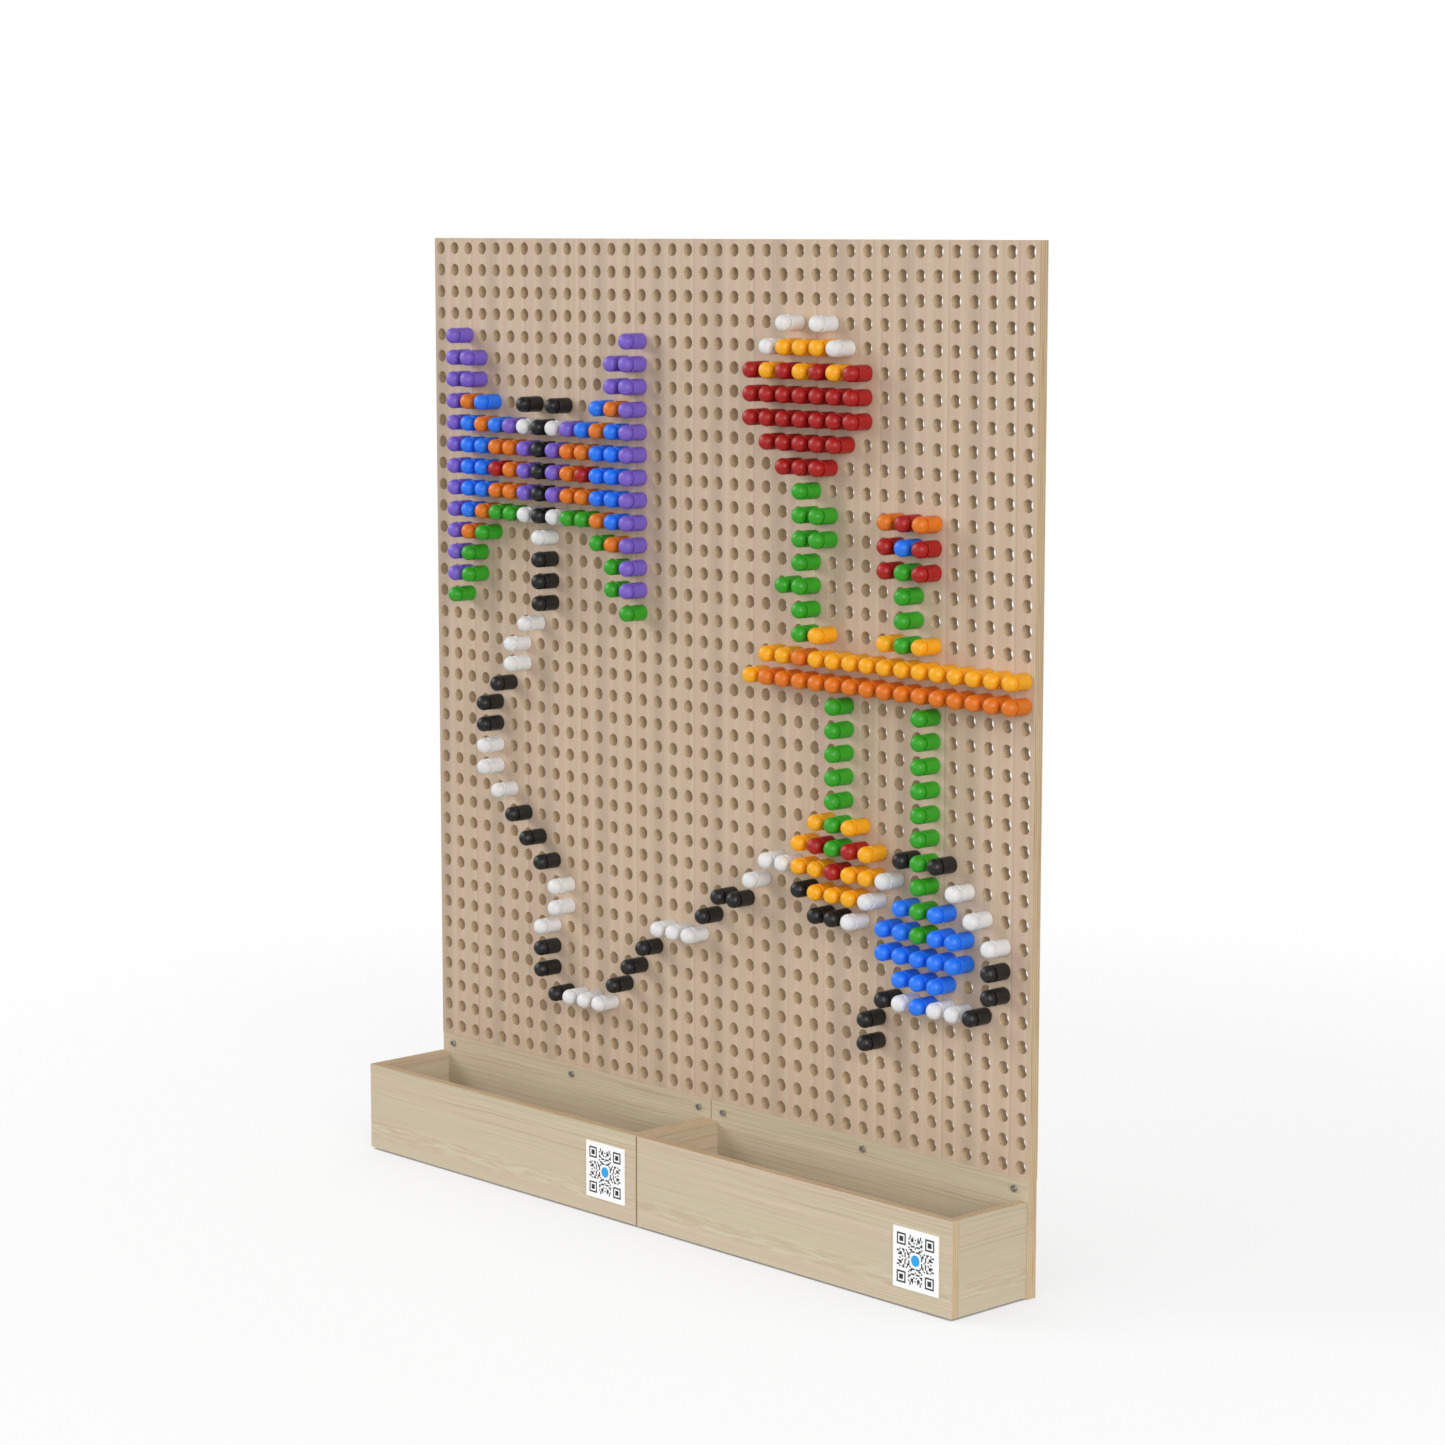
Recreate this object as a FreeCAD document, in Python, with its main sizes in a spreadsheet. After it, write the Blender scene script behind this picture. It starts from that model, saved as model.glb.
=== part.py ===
"""Peg wall with two floor trays.

Four square plywood peg panels stand two by two above two open trays. Mushroom-head pegs in eight
colours sit in the holes and draw a picture. Millimetres, +Z up. The origin is on the floor, in the
middle of the width, on the wall plane: the wall is at y = 0 and the pegs point along -Y.
"""
import FreeCAD, Part
import math
import os

import Sketcher

Vector = FreeCAD.Vector
Rotation = FreeCAD.Rotation
Placement = FreeCAD.Placement

# ---------------------------------------------------------------- driving dimensions

SIZES = [
    # peg panels: each a square module with the same grid of through holes
    ("module_width", 600.0),
    ("board_thickness", 16.5),
    ("holes_per_side", 19),
    ("hole_pitch", 31.7),
    ("hole_diameter", 17.6),
    # flat steel fittings behind the boards, which hold them this far off the wall; a keyhole has a
    # recess in the wood behind it for the head of its hook
    ("plate_thickness", 2.0),
    ("plate_width", 12.0),
    ("plate_length", 76.0),
    ("plate_corner_radius", 5.9),
    ("plate_screw_near", 10.0),
    ("plate_screw_far", 30.0),
    ("hanger_length", 44.0),
    ("keyhole_diameter", 7.5),
    ("keyhole_slot_width", 3.8),
    ("keyhole_slot_length", 8.0),
    ("keyhole_recess_width", 10.0),
    ("keyhole_recess_depth", 6.0),
    # small countersunk screws of those fittings
    ("small_screw_diameter", 3.5),
    ("small_screw_head_diameter", 6.6),
    ("small_screw_head_height", 1.6),
    ("small_screw_length", 12.0),
    ("recess_length", 4.0),
    ("recess_width", 0.9),
    ("recess_depth", 1.1),
    ("screw_hole_play", 0.1),
    # trays: tall back, then a box of front, two sides and a grooved-in bottom
    ("back_height", 158.5),
    ("back_side_gap", 1.0),
    ("tray_width", 597.0),
    ("tray_depth", 140.0),
    ("tray_height", 127.5),
    ("tray_thickness", 13.0),
    ("tray_floor_gap", 3.0),
    ("bottom_thickness", 9.0),
    ("bottom_above_edge", 6.0),
    ("groove_depth", 6.0),
    ("groove_play", 0.1),
    ("groove_end_play", 0.5),
    # wooden dowels of the tray corners
    ("dowel_diameter", 8.0),
    ("dowel_play", 0.1),
    ("dowel_depth_in_face", 10.0),
    ("dowel_depth_in_end", 20.0),
    ("dowel_end_play", 0.5),
    ("dowel_low", 42.0),
    ("dowel_high", 98.0),
    # wall screws with a hex socket, through the tray backs
    ("wall_screw_head_diameter", 10.0),
    ("wall_screw_head_height", 2.4),
    ("wall_screw_head_round", 0.8),
    ("wall_screw_socket", 4.5),
    ("wall_screw_socket_depth", 1.8),
    ("wall_screw_diameter", 6.0),
    ("wall_screw_thread", 5.0),
    ("wall_screw_hole", 6.5),
    ("wall_screw_behind", 21.5),
    ("wall_screw_from_end", 25.0),
    # plaques on the tray fronts
    ("plaque_size", 80.0),
    ("plaque_thickness", 2.0),
    ("plaque_from_end", 25.0),
    # pegs: a stub for the hole, a body, a neck and a domed head
    ("stub_diameter", 16.0),
    ("stub_length", 14.0),
    ("stub_chamfer", 1.0),
    ("seat_gap", 0.3),
    ("peg_diameter", 22.4),
    ("peg_body_length", 23.4),
    ("peg_body_round", 0.8),
    ("neck_diameter", 17.2),
    ("neck_length", 4.0),
    ("head_length", 12.0),
    ("head_round", 9.3),
    ("head_back_round", 1.0),
]

doc = FreeCAD.newDocument("peg_wall")
sheet = doc.addObject("Spreadsheet::Sheet", "sizes")
for row, (alias, number) in enumerate(SIZES, start=1):
    sheet.set(f"A{row}", alias)
    sheet.set(f"B{row}", str(number))
    sheet.setAlias(f"B{row}", alias)
doc.recompute()


def size(alias):
    """A driving dimension, read back from the sheet."""
    return float(sheet.get(alias))


# Expressions that several pieces share, with y counted from the wall plane towards the viewer.
HALF = "sizes.module_width / 2"
BOARD_REAR = "-sizes.plate_thickness"
BOARD_FRONT = "-(sizes.plate_thickness + sizes.board_thickness)"
TRAY_FRONT = "-(sizes.plate_thickness + sizes.board_thickness + sizes.tray_depth)"
TRAY_RIM = "sizes.tray_floor_gap + sizes.tray_height"
HOLE_FIELD = "(sizes.holes_per_side - 1) * sizes.hole_pitch"
MARGIN = f"(sizes.module_width - {HOLE_FIELD}) / 2"

board_front = -(size("plate_thickness") + size("board_thickness"))
tray_front = board_front - size("tray_depth")
margin = (size("module_width") - (size("holes_per_side") - 1) * size("hole_pitch")) / 2
tray_rim = size("tray_floor_gap") + size("tray_height")

# Two modules stand side by side, and two storeys of peg panels stand on the tray backs.
MODULE_LEFT_EDGES = {"left": "-sizes.module_width", "right": "0"}
STOREYS = ("bottom", "top")
module_left_edges = {"left": -size("module_width"), "right": 0.0}

# Two lengths in mm that differ by less than this are the same length.
SAME_LENGTH = 1e-4
# A pocket that takes away less than this, in mm3, has missed the solid.
LEAST_CUT = 1e-3

nodes = []


def keep(piece, label):
    """Give a piece its node name and remember it for export."""
    piece.Label = label
    nodes.append(piece)
    return piece


# ---------------------------------------------------------------- building blocks

def bind(piece, **expressions):
    """Bind properties of a piece to expressions over the sheet."""
    for name, expression in expressions.items():
        piece.setExpression(name, expression)


def bind_place(piece, x="0", y="0", z="0"):
    """Bind a piece's position, each coordinate in millimetres."""
    for axis, expression in (("x", x), ("y", y), ("z", z)):
        piece.setExpression(f"Placement.Base.{axis}", expression)


def origin_part(body, role):
    """One of a body's own origin planes or axes."""
    return next(part for part in body.Origin.OriginFeatures if part.Role == role)


def new_sketch(body, name, role):
    """An empty sketch on one of the body's own origin planes."""
    sketch = body.newObject("Sketcher::SketchObject", name)
    sketch.AttachmentSupport = [(origin_part(body, role), "")]
    sketch.MapMode = "FlatFace"
    return sketch


def sketch_outline(sketch, points):
    """A closed outline of straight lines whose corners follow pairs of expressions."""
    doc.recompute()
    count = len(points)
    seeds = [Vector(evaluate(x), evaluate(y), 0) for x, y in points]
    first = sketch.GeometryCount
    for index in range(count):
        sketch.addGeometry(Part.LineSegment(seeds[index], seeds[(index + 1) % count]), False)
    for index in range(count):
        line = first + index
        following = first + (index + 1) % count
        sketch.addConstraint(Sketcher.Constraint("Coincident", line, 2, following, 1))
    for index, (x, y) in enumerate(points):
        for kind, expression in (("DistanceX", x), ("DistanceY", y)):
            value = evaluate(expression)
            number = sketch.addConstraint(Sketcher.Constraint(kind, -1, 1, first + index, 1, value))
            sketch.setExpression(f"Constraints[{number}]", expression)


def sketch_circle(sketch, x, y, diameter):
    """A circle whose centre and diameter follow expressions."""
    centre = Vector(evaluate(x), evaluate(y), 0)
    circle = sketch.addGeometry(Part.Circle(centre, Vector(0, 0, 1), evaluate(diameter) / 2), False)
    for kind, expression in (("DistanceX", x), ("DistanceY", y)):
        constraint = Sketcher.Constraint(kind, -1, 1, circle, 3, evaluate(expression))
        sketch.setExpression(f"Constraints[{sketch.addConstraint(constraint)}]", expression)
    constraint = Sketcher.Constraint("Diameter", circle, evaluate(diameter))
    sketch.setExpression(f"Constraints[{sketch.addConstraint(constraint)}]", diameter)


def evaluate(expression):
    """The present value of an expression over the sheet."""
    value = sheet.evalExpression(expression)
    return float(getattr(value, "Value", value))


def pad(body, sketch, length):
    """Extrude a sketch of the XZ plane towards the viewer."""
    feature = body.newObject("PartDesign::Pad", "pad")
    feature.Profile = sketch
    bind(feature, Length=length)
    body.Tip = feature
    doc.recompute()
    return feature


def pocket(body, sketch, name, depth=None):
    """Cut a sketch into the body, right through unless a depth is given."""
    before = body.Tip.Shape.Volume
    feature = body.newObject("PartDesign::Pocket", name)
    feature.Profile = sketch
    if depth is None:
        feature.Type = "ThroughAll"
    else:
        bind(feature, Length=depth)
    for reverse in (False, True):
        feature.Reversed = reverse
        doc.recompute()
        if feature.Shape.Volume < before - LEAST_CUT:
            break
    if feature.Shape.Volume >= before - LEAST_CUT:
        raise RuntimeError(f"{name} cuts nothing")
    body.Tip = feature
    return feature


def revolve(body, sketch, role):
    """Turn a half outline once round one of the body's axes."""
    feature = body.newObject("PartDesign::Revolution", "turned")
    feature.Profile = sketch
    feature.ReferenceAxis = (origin_part(body, role), [""])
    feature.Angle = 360.0
    body.Tip = feature
    doc.recompute()
    return feature


def round_rim(body, radius_alias, rim_radius, rim_y):
    """Round the circular edge of that radius at that place on the body's Y axis."""
    names = []
    solid = body.Tip
    for number, edge in enumerate(solid.Shape.Edges, start=1):
        curve = edge.Curve
        if isinstance(curve, Part.Circle) and abs(curve.Radius - rim_radius) < SAME_LENGTH:
            if abs(curve.Center.y - rim_y) < SAME_LENGTH:
                names.append(f"Edge{number}")
    feature = body.newObject("PartDesign::Fillet", "round")
    feature.Base = (solid, names)
    bind(feature, Radius=f"sizes.{radius_alias}")
    body.Tip = feature
    doc.recompute()


def block(name, length, width, height, x, y, z):
    """A board as a box: three size expressions, then three for its low corner."""
    box = doc.addObject("Part::Box", name)
    bind(box, Length=length, Width=width, Height=height)
    bind_place(box, x, y, z)
    return box


def rod(name, radius, length, x, y, z, direction=Vector(0, 0, 1)):
    """A round rod or drill: it starts at x, y, z and runs along direction."""
    cylinder = doc.addObject("Part::Cylinder", name)
    bind(cylinder, Radius=radius, Height=length)
    cylinder.Placement = Placement(Vector(), Rotation(Vector(0, 0, 1), direction))
    bind_place(cylinder, x, y, z)
    return cylinder


def join(name, parts):
    """Fuse several primitives into one solid."""
    fused = doc.addObject("Part::MultiFuse", name)
    fused.Shapes = parts
    return fused


def cut(name, base, tools):
    """A base with tools taken out of it."""
    tool = tools[0]
    if len(tools) > 1:
        tool = join(f"{name}_tools", tools)
    result = doc.addObject("Part::Cut", name)
    result.Base = base
    result.Tool = tool
    return result


def group_of_copies(label, master, places):
    """One node that holds copies of a master piece, each a separate solid."""
    copies = []
    for place in places:
        copy = master.Shape.copy()
        copy.Placement = place.multiply(master.Shape.Placement)
        copies.append(copy)
    group = doc.addObject("Part::Feature", label)
    group.Shape = Part.makeCompound(copies)
    return keep(group, label)


# ---------------------------------------------------------------- stations shared by the fittings

# Joining plates lie on the wood half way between two hole columns (or rows), at these two stations,
# counted in hole pitches from the first hole.
PLATE_COLUMNS = (4.5, 13.5)
PLATE_STATIONS = [f"{MARGIN} + {column} * sizes.hole_pitch" for column in PLATE_COLUMNS]
plate_stations = [margin + column * size("hole_pitch") for column in PLATE_COLUMNS]
# Keyhole hangers hide behind the wood too, half way between hole rows and hole columns.
HANGER_COLUMNS = (3.5, 14.5)
HANGER_ROW_FROM_TOP = 1.5
HANGER_ROW = f"(sizes.holes_per_side - 1 - {HANGER_ROW_FROM_TOP})"


# ---------------------------------------------------------------- peg panels

def peg_panel_master():
    """One peg panel with its low left rear corner at its own origin."""
    body = doc.addObject("PartDesign::Body", "peg_panel_master")

    outline = new_sketch(body, "panel_outline", "XZ_Plane")
    sketch_outline(outline, [("0", "0"), ("sizes.module_width", "0"),
                             ("sizes.module_width", "sizes.module_width"), ("0", "sizes.module_width")])
    pad(body, outline, "sizes.board_thickness")

    # blind pilot holes for the plate screws: one edge, then the same on all four edges
    pilots = new_sketch(body, "plate_pilots", "XZ_Plane")
    pilot_diameter = "sizes.small_screw_diameter + 2 * sizes.screw_hole_play"
    for station in PLATE_STATIONS:
        for distance in ("sizes.plate_screw_near", "sizes.plate_screw_far"):
            sketch_circle(pilots, station, distance, pilot_diameter)
            sketch_circle(pilots, station, f"sizes.module_width - {distance}", pilot_diameter)
            sketch_circle(pilots, distance, station, pilot_diameter)
            sketch_circle(pilots, f"sizes.module_width - {distance}", station, pilot_diameter)
    hanger_height = f"{MARGIN} + {HANGER_ROW} * sizes.hole_pitch"
    hanger_columns = [f"{MARGIN} + {column} * sizes.hole_pitch" for column in HANGER_COLUMNS]
    for column in hanger_columns:
        for sign in ("+", "-"):
            sketch_circle(pilots, column, f"{hanger_height} {sign} sizes.hole_pitch / 2", pilot_diameter)
    pocket(body, pilots, "pilot_holes", "sizes.small_screw_length")

    recesses = new_sketch(body, "keyhole_recesses", "XZ_Plane")
    half_width = "sizes.keyhole_recess_width / 2"
    foot = f"{hanger_height} - {half_width}"
    head = f"{hanger_height} + sizes.keyhole_slot_length + {half_width}"
    for column in hanger_columns:
        sketch_outline(recesses, [(f"{column} - {half_width}", foot), (f"{column} + {half_width}", foot),
                                  (f"{column} + {half_width}", head), (f"{column} - {half_width}", head)])
    pocket(body, recesses, "recess", "sizes.keyhole_recess_depth")

    first = new_sketch(body, "first_hole", "XZ_Plane")
    sketch_circle(first, MARGIN, MARGIN, "sizes.hole_diameter")
    hole = pocket(body, first, "peg_hole")

    grid = body.newObject("PartDesign::LinearPattern", "hole_grid")
    grid.Originals = [hole]
    grid.Direction = (origin_part(body, "X_Axis"), [""])
    grid.Direction2 = (origin_part(body, "Z_Axis"), [""])
    for suffix in ("", "2"):
        setattr(grid, f"Mode{suffix}", "Extent")
        bind(grid, **{f"Length{suffix}": HOLE_FIELD, f"Occurrences{suffix}": "sizes.holes_per_side"})
    body.Tip = grid
    doc.recompute()
    return body


def peg_panel(label, master, x, z):
    """A peg panel that takes its shape from the master and has its own place."""
    body = doc.addObject("PartDesign::Body", label)
    base = doc.addObject("PartDesign::FeatureBase", f"{label}_shape")
    base.BaseFeature = master
    body.Group = [base]
    body.Tip = base
    bind_place(body, x, BOARD_REAR, z)
    return keep(body, label)


# ---------------------------------------------------------------- trays

def drill_along_y(name, x, y, z, depth, diameter):
    """A drill that enters at x, y, z and runs towards the viewer."""
    return rod(name, f"({diameter}) / 2", depth, x, y, z, Vector(0, -1, 0))


BACK_THICK = "sizes.board_thickness"
THICK = "sizes.tray_thickness"
INNER_WIDTH = f"(sizes.tray_width - 2 * {THICK})"
BOTTOM_LOW = "sizes.tray_floor_gap + sizes.bottom_above_edge"
GROOVE_LOW = f"{BOTTOM_LOW} - sizes.groove_play"
GROOVE_HEIGHT = "sizes.bottom_thickness + 2 * sizes.groove_play"
FRONT_INNER_FACE = f"{TRAY_FRONT} + {THICK}"


def side_places(left):
    """The left faces of a tray's two sides; left is the left edge of its module."""
    return {"left": left, "right": f"({left} + sizes.tray_width - {THICK})"}


def dowel_columns(left):
    """The middle of each side's thickness, where its dowels are."""
    return {name: f"({place} + {THICK} / 2)" for name, place in side_places(left).items()}


def wall_screw_columns(left):
    """The three wall-screw columns of a tray back."""
    return [f"{left} + sizes.wall_screw_from_end", f"{left} + {HALF}",
            f"{left} + sizes.module_width - sizes.wall_screw_from_end"]


def dowel_drills(name, columns, y, depth):
    """Two drills for dowels, one above the other, at each column."""
    diameter = "sizes.dowel_diameter + 2 * sizes.dowel_play"
    return [drill_along_y(name, column, y, height, depth, diameter)
            for column in columns for height in ("sizes.dowel_low", "sizes.dowel_high")]


def long_groove(name, left, y):
    """The groove for the bottom along a front or a back."""
    return block(name, f"{INNER_WIDTH} + 2 * sizes.groove_depth", "sizes.groove_depth", GROOVE_HEIGHT,
                 f"{left} + {THICK} - sizes.groove_depth", y, GROOVE_LOW)


def tray_back(side, left):
    """The tall back: it stands on the floor and has three wall-screw holes above the rim."""
    board = block(f"{side}_back_board", "sizes.module_width - 2 * sizes.back_side_gap", BACK_THICK,
                  "sizes.back_height", f"{left} + sizes.back_side_gap", BOARD_FRONT, "0")
    tools = [long_groove(f"{side}_back_groove", left, BOARD_FRONT)]
    tools += dowel_drills(f"{side}_back_drill", dowel_columns(left).values(),
                          f"{BOARD_FRONT} + sizes.dowel_depth_in_face", "sizes.dowel_depth_in_face")
    screw_height = f"(({TRAY_RIM}) + sizes.back_height) / 2"
    for column in wall_screw_columns(left):
        tools.append(drill_along_y(f"{side}_screw_drill", column, BOARD_REAR, screw_height, BACK_THICK,
                                   "sizes.wall_screw_hole"))
    for station in PLATE_STATIONS:
        for distance in ("sizes.plate_screw_near", "sizes.plate_screw_far"):
            tools.append(drill_along_y(f"{side}_plate_drill", f"{left} + {station}", BOARD_REAR,
                                       f"sizes.back_height - {distance}", "sizes.small_screw_length",
                                       "sizes.small_screw_diameter + 2 * sizes.screw_hole_play"))
    keep(cut(f"{side}_tray_back", board, tools), f"{side}_tray_back")


def tray_front_board(side, left):
    """The front: it covers the ends of both sides."""
    board = block(f"{side}_front_board", "sizes.tray_width", THICK, "sizes.tray_height",
                  left, TRAY_FRONT, "sizes.tray_floor_gap")
    tools = [long_groove(f"{side}_front_groove", left, f"{FRONT_INNER_FACE} - sizes.groove_depth")]
    tools += dowel_drills(f"{side}_front_drill", dowel_columns(left).values(), FRONT_INNER_FACE,
                          "sizes.dowel_depth_in_face")
    keep(cut(f"{side}_tray_front", board, tools), f"{side}_tray_front")


def tray_side(side, name, left):
    """A side, with a groove on its inner face and dowel holes in its ends."""
    label = f"{side}_tray_{name}_side"
    place = side_places(left)[name]
    column = dowel_columns(left)[name]
    depth = f"(sizes.tray_depth - {THICK})"
    board = block(f"{label}_board", THICK, depth, "sizes.tray_height", place, FRONT_INNER_FACE,
                  "sizes.tray_floor_gap")
    groove_x = f"{left} + {THICK} - sizes.groove_depth" if name == "left" else place
    tools = [block(f"{label}_groove", "sizes.groove_depth", depth, GROOVE_HEIGHT, groove_x,
                   FRONT_INNER_FACE, GROOVE_LOW)]
    tools += dowel_drills(f"{label}_front_drill", [column],
                          f"{FRONT_INNER_FACE} + sizes.dowel_depth_in_end", "sizes.dowel_depth_in_end")
    tools += dowel_drills(f"{label}_rear_drill", [column], BOARD_FRONT, "sizes.dowel_depth_in_end")
    keep(cut(label, board, tools), label)


def tray_bottom(side, left):
    """The bottom, let into the grooves all round."""
    reach = "(sizes.groove_depth - sizes.groove_end_play)"
    board = block(f"{side}_bottom_board", f"{INNER_WIDTH} + 2 * {reach}",
                  f"sizes.tray_depth - {THICK} + 2 * {reach}", "sizes.bottom_thickness",
                  f"{left} + {THICK} - {reach}", f"{FRONT_INNER_FACE} - {reach}", BOTTOM_LOW)
    keep(board, f"{side}_tray_bottom")


def plaque(side, left):
    """The plaque near the right end of the front."""
    slab = block(f"{side}_plaque_slab", "sizes.plaque_size", "sizes.plaque_thickness",
                 "sizes.plaque_size",
                 f"{left} + sizes.module_width - sizes.plaque_from_end - sizes.plaque_size",
                 f"{TRAY_FRONT} - sizes.plaque_thickness",
                 "sizes.tray_floor_gap + (sizes.tray_height - sizes.plaque_size) / 2")
    keep(slab, f"{side}_plaque")


# ---------------------------------------------------------------- fittings, each made once as a master

def joining_plate_master():
    """A flat plate with rounded ends and four screw holes, upright, centred on its own origin."""
    half_width = "sizes.plate_width / 2"
    bar = block("plate_bar", "sizes.plate_width", "sizes.plate_thickness", "sizes.plate_length",
                f"-{half_width}", "-sizes.plate_thickness", "-sizes.plate_length / 2")
    holes = []
    for distance in ("sizes.plate_screw_near", "sizes.plate_screw_far"):
        for sign in ("", "-"):
            holes.append(countersunk_drill("plate_hole", "0", f"{sign}{distance}"))
    return rounded_plate("joining_plate", bar, holes)


def hanger_master():
    """A keyhole plate: a round opening with a slot above it, and a screw hole at each end."""
    half_width = "sizes.plate_width / 2"
    bar = block("hanger_bar", "sizes.plate_width", "sizes.plate_thickness", "sizes.hanger_length",
                f"-{half_width}", "-sizes.plate_thickness", "-sizes.hanger_length / 2")
    opening = drill_along_y("keyhole", "0", "0", "0", "sizes.plate_thickness", "sizes.keyhole_diameter")
    slot = block("keyhole_slot", "sizes.keyhole_slot_width", "sizes.plate_thickness",
                 "sizes.keyhole_slot_length", "-sizes.keyhole_slot_width / 2",
                 "-sizes.plate_thickness", "0")
    slot_end = drill_along_y("keyhole_slot_end", "0", "0", "sizes.keyhole_slot_length",
                             "sizes.plate_thickness", "sizes.keyhole_slot_width")
    holes = [opening, slot, slot_end]
    for sign in ("", "-"):
        holes.append(countersunk_drill("hanger_hole", "0", f"{sign}sizes.hole_pitch / 2"))
    return rounded_plate("hanger", bar, holes)


def rounded_plate(name, bar, holes):
    """Cut the holes and round the four upright corners of a plate."""
    cut_bar = cut(f"{name}_cut", bar, holes)
    doc.recompute()
    rounded = doc.addObject("Part::Fillet", f"{name}_master")
    rounded.Base = cut_bar
    radius = size("plate_corner_radius")
    corners = [number for number, edge in enumerate(cut_bar.Shape.Edges, start=1)
               if is_plate_corner(edge)]
    rounded.Edges = [(number, radius, radius) for number in corners]
    doc.recompute()
    return rounded


def is_plate_corner(edge):
    """True for the four short straight edges through a plate's thickness at its corners."""
    if not isinstance(edge.Curve, Part.Line):
        return False
    box = edge.BoundBox
    through = abs(box.YLength - size("plate_thickness")) < SAME_LENGTH
    return through and abs(abs(box.XMin) - size("plate_width") / 2) < SAME_LENGTH


def countersunk_drill(name, x, z):
    """A screw hole through a plate, with a countersink that opens at the wall side."""
    play = "sizes.screw_hole_play"
    hole = drill_along_y(f"{name}_drill", x, "0", z, "sizes.plate_thickness",
                         f"sizes.small_screw_diameter + 2 * {play}")
    sink = doc.addObject("Part::Cone", f"{name}_sink")
    bind(sink, Radius1=f"sizes.small_screw_head_diameter / 2 + {play}",
         Radius2=f"sizes.small_screw_diameter / 2 + {play}", Height="sizes.small_screw_head_height")
    sink.Placement = Placement(Vector(), Rotation(Vector(0, 0, 1), Vector(0, -1, 0)))
    bind_place(sink, x, "0", z)
    return join(name, [hole, sink])


def small_screw_master():
    """A countersunk screw whose head is flush with the wall plane; it points at the viewer."""
    head = doc.addObject("Part::Cone", "small_screw_head")
    bind(head, Radius1="sizes.small_screw_head_diameter / 2", Radius2="sizes.small_screw_diameter / 2",
         Height="sizes.small_screw_head_height")
    head.Placement = Placement(Vector(), Rotation(Vector(0, 0, 1), Vector(0, -1, 0)))
    shank_length = "sizes.small_screw_length - sizes.small_screw_diameter"
    shank = drill_along_y("small_screw_shank", "0", "0", "0", shank_length, "sizes.small_screw_diameter")
    tip = doc.addObject("Part::Cone", "small_screw_tip")
    bind(tip, Radius1="sizes.small_screw_diameter / 2", Height="sizes.small_screw_diameter")
    tip.Radius2 = 0
    tip.Placement = Placement(Vector(), Rotation(Vector(0, 0, 1), Vector(0, -1, 0)))
    bind_place(tip, "0", f"-({shank_length})", "0")
    # a cross recess in the head, two crossed slots
    body = join("small_screw_body", [head, shank, tip])
    slots = []
    for name, length, height in (("flat", "sizes.recess_length", "sizes.recess_width"),
                                 ("upright", "sizes.recess_width", "sizes.recess_length")):
        slots.append(block(f"recess_{name}", length, "sizes.recess_depth", height,
                           f"-{length} / 2", "-sizes.recess_depth", f"-{height} / 2"))
    screw = cut("small_screw_master", body, slots)
    doc.recompute()
    return screw


def wall_screw_master():
    """A flat-headed screw with a hex socket; its head sits on the plane y = 0 of its own frame."""
    body = doc.addObject("PartDesign::Body", "wall_screw_master")
    outline = new_sketch(body, "wall_screw_outline", "XY_Plane")
    shank = "sizes.wall_screw_diameter / 2"
    head = "sizes.wall_screw_head_diameter / 2"
    thread = "sizes.wall_screw_thread / 2"
    neck = "sizes.board_thickness + sizes.plate_thickness"
    reach = f"{neck} + sizes.wall_screw_behind"
    point = "sizes.wall_screw_thread"
    head_top = "-sizes.wall_screw_head_height"
    sketch_outline(outline, [("0", head_top), (head, head_top), (head, "0"), (shank, "0"),
                             (shank, neck), (thread, neck), (thread, f"{reach} - {point}"), ("0", reach)])
    revolve(body, outline, "Y_Axis")
    round_rim(body, "wall_screw_head_round", size("wall_screw_head_diameter") / 2,
              -size("wall_screw_head_height"))
    socket = doc.addObject("Part::Prism", "wall_screw_socket")
    socket.Polygon = 6
    bind(socket, Circumradius=f"sizes.wall_screw_socket / {math.sqrt(3)}",
         Height="sizes.wall_screw_socket_depth")
    socket.Placement = Placement(Vector(), Rotation(Vector(0, 0, 1), Vector(0, 1, 0)))
    bind_place(socket, "0", "-sizes.wall_screw_head_height", "0")
    screw = cut("wall_screw_with_socket", body, [socket])
    doc.recompute()
    return screw


def dowel_master():
    """A wooden dowel along Y, from the end grain of a side into a front or back board."""
    length = "sizes.dowel_depth_in_face + sizes.dowel_depth_in_end - 2 * sizes.dowel_end_play"
    dowel = rod("dowel_master", "sizes.dowel_diameter / 2", length, "0",
                "-(sizes.dowel_depth_in_end - sizes.dowel_end_play)", "0", Vector(0, 1, 0))
    doc.recompute()
    return dowel


def peg_master():
    """A mushroom-head peg: stub along +Y, shoulder at y = 0, body, neck and domed head along -Y."""
    body = doc.addObject("PartDesign::Body", "peg_master")
    outline = new_sketch(body, "peg_outline", "XY_Plane")
    stub = "sizes.stub_diameter / 2"
    shoulder = "sizes.peg_diameter / 2"
    neck = "sizes.neck_diameter / 2"
    body_end = "-sizes.peg_body_length"
    head_back = f"{body_end} - sizes.neck_length"
    head_front = f"{head_back} - sizes.head_length"
    sketch_outline(outline, [
        ("0", head_front), (shoulder, head_front), (shoulder, head_back), (neck, head_back),
        (neck, body_end), (shoulder, body_end), (shoulder, "0"), (stub, "0"),
        (stub, "sizes.stub_length - sizes.stub_chamfer"),
        (f"{stub} - sizes.stub_chamfer", "sizes.stub_length"), ("0", "sizes.stub_length")])
    revolve(body, outline, "Y_Axis")
    radius = size("peg_diameter") / 2
    round_rim(body, "peg_body_round", radius, 0.0)
    round_rim(body, "peg_body_round", radius, evaluate(body_end))
    round_rim(body, "head_back_round", radius, evaluate(head_back))
    round_rim(body, "head_round", radius, evaluate(head_front))
    return body


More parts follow.
